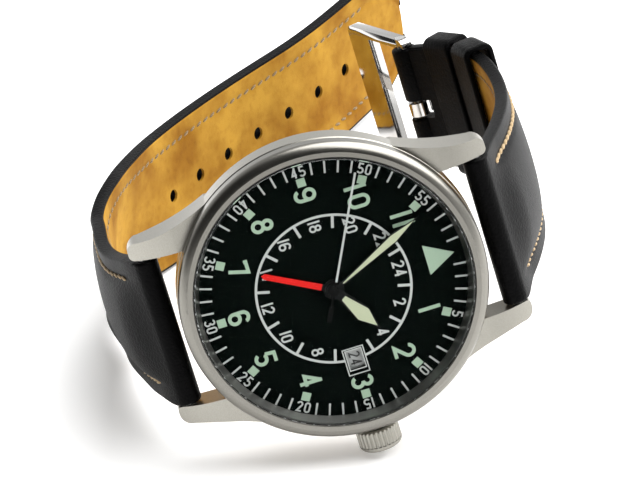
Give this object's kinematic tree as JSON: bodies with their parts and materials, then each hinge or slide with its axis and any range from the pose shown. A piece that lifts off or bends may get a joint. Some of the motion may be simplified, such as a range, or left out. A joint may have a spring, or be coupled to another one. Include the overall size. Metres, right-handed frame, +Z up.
{
  "type": "pilot watch",
  "caption": "Round steel wrist watch with a black 24 hour pilot dial and an open padded leather strap, lying on the side of its case.",
  "frame": {"origin": "on the floor, under the middle of the bounding box of the watch as it lies", "axes": "+Z up from the floor, -Y towards the side the dial faces, +X towards 12 o'clock"},
  "size_m": [0.0608, 0.1038, 0.043],
  "materials": {
    "steel": "satin",
    "polished_steel": "polished",
    "sapphire": "clear",
    "seal": "matt",
    "black_metal": "matt",
    "dial_black": "matt",
    "lume": "matt",
    "hand_lume": "matt",
    "white_print": "matt",
    "date_white": "matt",
    "date_ink": "matt",
    "red": "gloss",
    "movement_steel": "satin",
    "movement_brass": "satin",
    "ruby": "gloss",
    "holder": "matt",
    "black_leather": "soft sheen",
    "tan_leather": "suede"
  },
  "bodies": {
    "case": {"case_middle": "steel", "bezel": "steel", "crystal": "sapphire", "crystal_gasket": "seal", "inner_flange": "black_metal", "case_back": "steel", "case_back_gasket": "seal", "crown_tube": "steel", "movement_ring": "holder", "case_clamps": "movement_steel", "dial": "dial_black", "hour_markers": "lume", "hour_numerals": "lume", "minute_print": "white_print", "day_print": "white_print", "window_frame": "white_print", "mainplate": "movement_brass", "train_bridge": "movement_steel", "balance_cock": "movement_steel", "bridge_screws": "movement_steel", "pivot_jewels": "ruby", "rotor_axle": "movement_steel", "spring_bar_long": "movement_steel", "spring_bar_short": "movement_steel"},
    "winding_sleeve": {"winding_pinion": "movement_steel"},
    "crown": {"crown": "steel", "crown_gasket": "seal", "winding_stem": "movement_steel"},
    "seconds": {"fourth_wheel": "movement_brass", "second_hand": "white_print"},
    "third": {"third_wheel": "movement_brass"},
    "minute": {"centre_wheel": "movement_brass", "cannon_pinion": "movement_steel", "minute_hand": "black_metal", "minute_lume": "hand_lume"},
    "barrel": {"barrel": "movement_brass", "mainspring": "movement_steel"},
    "escape": {"escape_wheel": "movement_steel"},
    "motion": {"minute_wheel": "movement_brass"},
    "hour": {"hour_wheel": "movement_brass", "hour_hand": "black_metal", "hour_lume": "hand_lume"},
    "day": {"day_wheel": "movement_brass", "day_hand": "red"},
    "date": {"date_disc": "date_white", "date_numerals": "date_ink"},
    "pallet": {"pallet_fork": "movement_steel"},
    "balance": {"balance_wheel": "movement_brass", "hairspring": "movement_steel"},
    "rotor": {"rotor": "movement_steel"},
    "long_half": {"strap_long": "black_leather", "strap_long_lining": "tan_leather"},
    "short_half": {"strap_short": "black_leather", "strap_short_lining": "tan_leather", "fixed_keeper": "black_leather", "buckle_bar": "movement_steel"},
    "loose_keeper": {"free_keeper": "black_leather"},
    "buckle": {"buckle_frame": "polished_steel"},
    "tongue": {"buckle_tongue": "polished_steel"}
  },
  "joints": [
    {"name": "crown_turn", "type": "hinge", "parent": "case", "child": "winding_sleeve", "pos_m": [0.00127, -0.04633, 0.01339], "axis": [0.2267, -0.1808, -0.957], "continuous": true},
    {"name": "crown_pull", "type": "slide", "parent": "winding_sleeve", "child": "crown", "axis": [0.2267, -0.1808, -0.957], "range_m": [0, 0.001]},
    {"name": "seconds_turn", "type": "hinge", "parent": "case", "child": "seconds", "pos_m": [-0.001, -0.04629, 0.02329], "axis": [0, 0.9826, -0.1857], "continuous": true},
    {"name": "third_turn", "type": "hinge", "parent": "case", "child": "third", "pos_m": [-0.00548, -0.04648, 0.02227], "axis": [0, 0.9826, -0.1857], "continuous": true},
    {"name": "minute_turn", "type": "hinge", "parent": "case", "child": "minute", "pos_m": [-0.001, -0.04629, 0.02329], "axis": [0, 0.9826, -0.1857], "continuous": true},
    {"name": "barrel_turn", "type": "hinge", "parent": "case", "child": "barrel", "pos_m": [0.00475, -0.04604, 0.02461], "axis": [0, 0.9826, -0.1857], "continuous": true},
    {"name": "escape_turn", "type": "hinge", "parent": "case", "child": "escape", "pos_m": [-0.00311, -0.04569, 0.02648], "axis": [0, 0.9826, -0.1857], "continuous": true},
    {"name": "motion_turn", "type": "hinge", "parent": "case", "child": "motion", "pos_m": [-0.0029, -0.04662, 0.02155], "axis": [0, 0.9826, -0.1857], "continuous": true},
    {"name": "hour_turn", "type": "hinge", "parent": "case", "child": "hour", "pos_m": [-0.001, -0.04629, 0.02329], "axis": [0, 0.9826, -0.1857], "continuous": true},
    {"name": "day_turn", "type": "hinge", "parent": "case", "child": "day", "pos_m": [-0.001, -0.04629, 0.02329], "axis": [0, 0.9826, -0.1857], "continuous": true},
    {"name": "date_turn", "type": "hinge", "parent": "case", "child": "date", "pos_m": [-0.001, -0.04629, 0.02329], "axis": [0, 0.9826, -0.1857], "continuous": true},
    {"name": "pallet_swing", "type": "hinge", "parent": "case", "child": "pallet", "pos_m": [-0.00534, -0.04546, 0.02769], "axis": [0, 0.9826, -0.1857], "range_deg": [-4, 4]},
    {"name": "balance_swing", "type": "hinge", "parent": "case", "child": "balance", "pos_m": [-0.00703, -0.04529, 0.02861], "axis": [0, 0.9826, -0.1857], "range_deg": [-270, 270]},
    {"name": "rotor_turn", "type": "hinge", "parent": "case", "child": "rotor", "pos_m": [-0.001, -0.04629, 0.02329], "axis": [0, 0.9826, -0.1857], "continuous": true},
    {"name": "long_half_swing", "type": "hinge", "parent": "case", "child": "long_half", "pos_m": [-0.02238, -0.04417, 0.01783], "axis": [-0.2267, 0.1808, 0.957], "range_deg": [0, 40]},
    {"name": "short_half_swing", "type": "hinge", "parent": "case", "child": "short_half", "pos_m": [0.02038, -0.04232, 0.02761], "axis": [0.2267, -0.1808, -0.957], "range_deg": [0, 40]},
    {"name": "keeper_slide", "type": "slide", "parent": "short_half", "child": "loose_keeper", "axis": [-0.2821, 0.9283, -0.2422], "range_m": [-0.0012, 0.0005]},
    {"name": "buckle_swing", "type": "hinge", "parent": "short_half", "child": "buckle", "pos_m": [0.01706, 0.01077, 0.01762], "axis": [0.2267, -0.1808, -0.957], "range_deg": [-20, 45]},
    {"name": "tongue_swing", "type": "hinge", "parent": "buckle", "child": "tongue", "pos_m": [0.01706, 0.01077, 0.01762], "axis": [0.2267, -0.1808, -0.957], "range_deg": [-25, 30]}
  ],
  "couplings": [
    {"joint": "third_turn", "follows": "seconds_turn", "ratio": -0.13333},
    {"joint": "minute_turn", "follows": "seconds_turn", "ratio": 0.016667},
    {"joint": "barrel_turn", "follows": "seconds_turn", "ratio": -0.0022222},
    {"joint": "escape_turn", "follows": "seconds_turn", "ratio": -12},
    {"joint": "motion_turn", "follows": "seconds_turn", "ratio": -0.0055556},
    {"joint": "hour_turn", "follows": "seconds_turn", "ratio": 0.0013889},
    {"joint": "day_turn", "follows": "seconds_turn", "ratio": 0.00069444}
  ]
}
